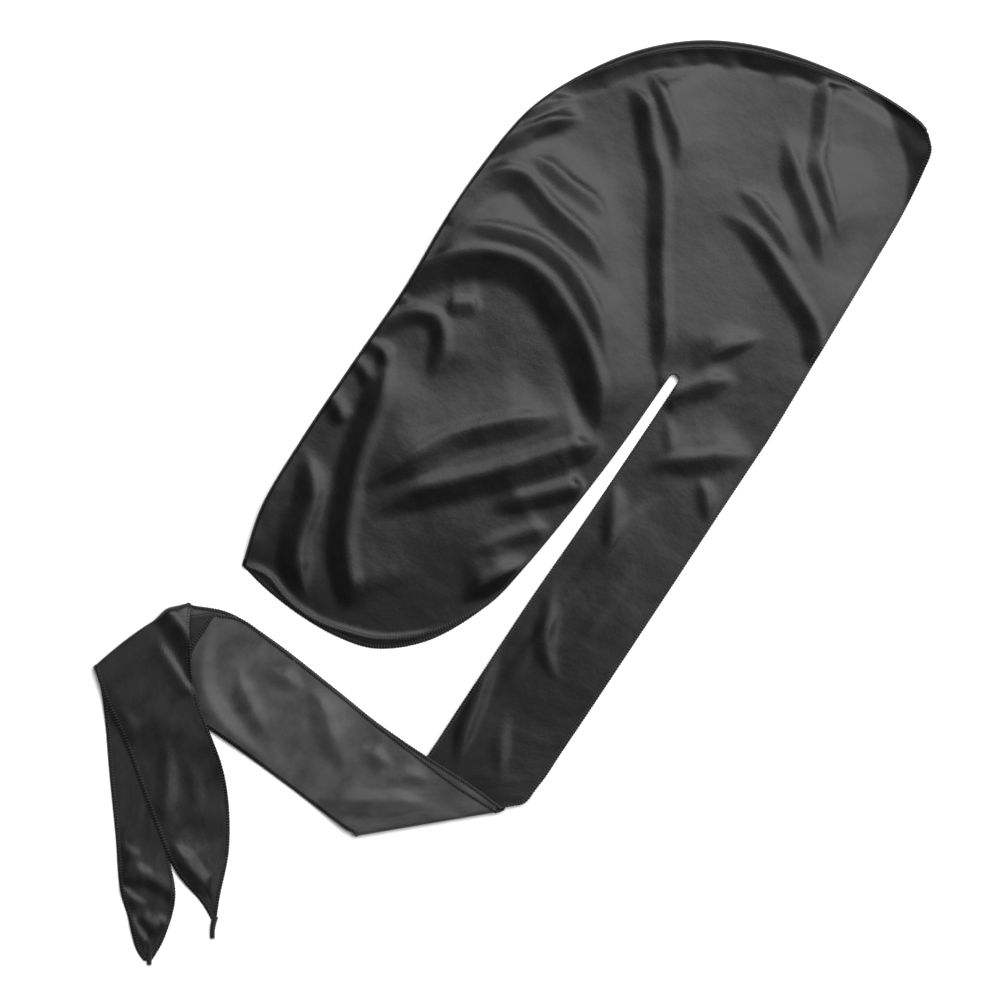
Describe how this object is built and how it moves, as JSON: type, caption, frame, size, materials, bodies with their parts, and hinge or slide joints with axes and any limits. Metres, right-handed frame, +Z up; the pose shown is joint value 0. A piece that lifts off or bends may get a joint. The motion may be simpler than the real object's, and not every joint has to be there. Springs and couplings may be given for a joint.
{
  "type": "durag",
  "caption": "Satin durag laid flat, folded in half along its crown seam, with a neck flap and long ties folded over on themselves.",
  "frame": {"origin": "on the surface it lies on, under the middle of the whole durag's box", "axes": "+X from the back of the head to the hairline edge, +Y from the ties' points to the forehead, +Z up from the surface"},
  "size_m": [0.298, 0.7692, 0.0147],
  "materials": {
    "satin": "black polyester satin, soft sheen, narrow rolled hems",
    "overlock_thread": "black overlock thread"
  },
  "bodies": {
    "root": {"near_panel": "satin", "far_panel": "satin", "crown_seam": "overlock_thread", "near_tie": "satin", "far_tie": "satin", "near_tip_thread": "overlock_thread", "far_tip_thread": "overlock_thread"}
  },
  "joints": []
}
